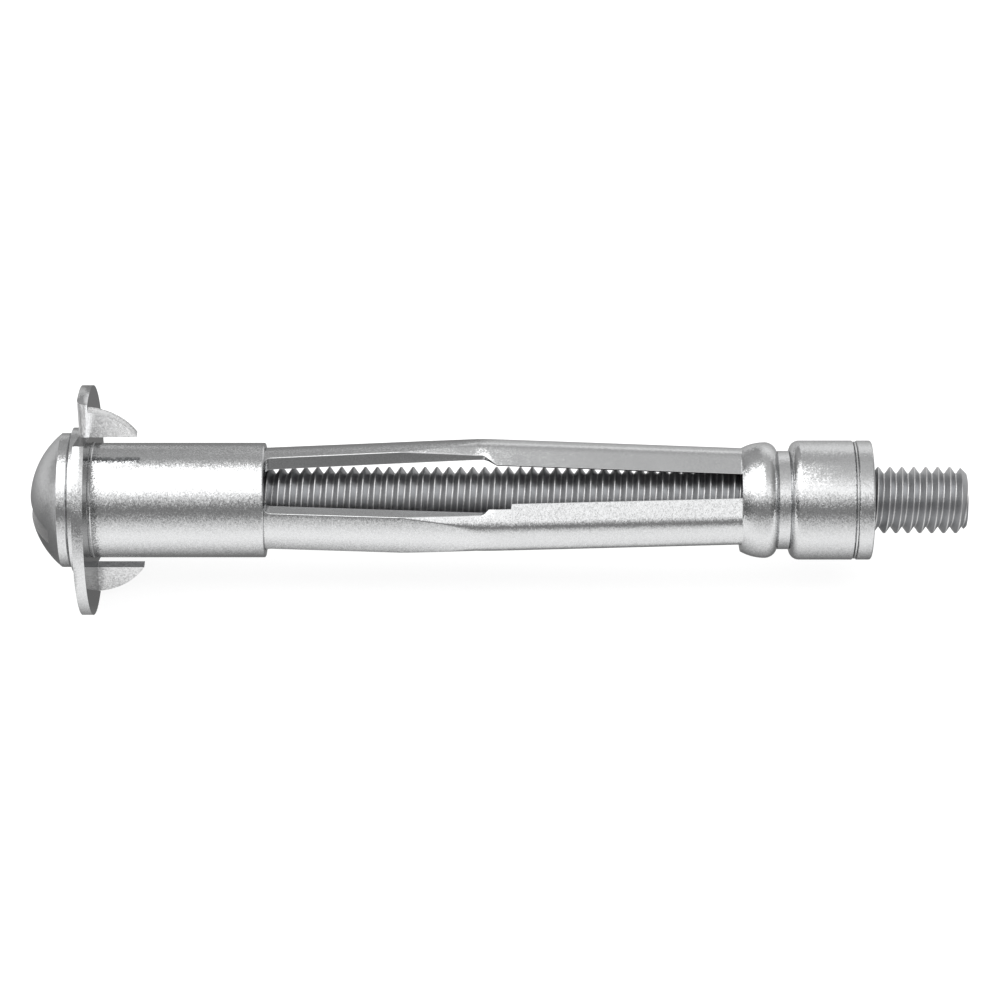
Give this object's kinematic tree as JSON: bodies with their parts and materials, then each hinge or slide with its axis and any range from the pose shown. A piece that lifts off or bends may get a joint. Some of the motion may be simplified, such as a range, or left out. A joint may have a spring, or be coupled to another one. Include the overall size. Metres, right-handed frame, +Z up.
{
  "type": "expansion anchor",
  "caption": "Hollow-wall expansion anchor: a slotted machine screw in a cut-open steel sleeve whose legs fold out behind the panel, with a clawed washer under the head.",
  "frame": {"origin": "on the screw's axis, in the face of the claw washer that meets the wall", "axes": "+X along the axis, from the screw head towards the tail; +Z up as the anchor lies on a notch of its claw washer"},
  "size_m": [0.0547, 0.0134, 0.0132],
  "materials": {
    "screw_steel": "darker zinc-plated steel, fine satin grain",
    "sleeve_steel": "bright zinc-plated sheet, fine speckled satin grain",
    "washer_steel": "bright zinc-plated sheet, fine speckled satin grain",
    "nut_steel": "bright zinc-plated steel, fine speckled satin grain"
  },
  "bodies": {
    "anchor": {"expansion_sleeve": "sleeve_steel", "claw_washer": "washer_steel", "tail_nut": "nut_steel"},
    "screw": {"machine_screw": "screw_steel"}
  },
  "joints": [
    {"name": "screw_turn", "type": "hinge", "parent": "anchor", "child": "screw", "pos_m": [0.042, 0, 0], "axis": [1, 0, 0], "continuous": true}
  ]
}
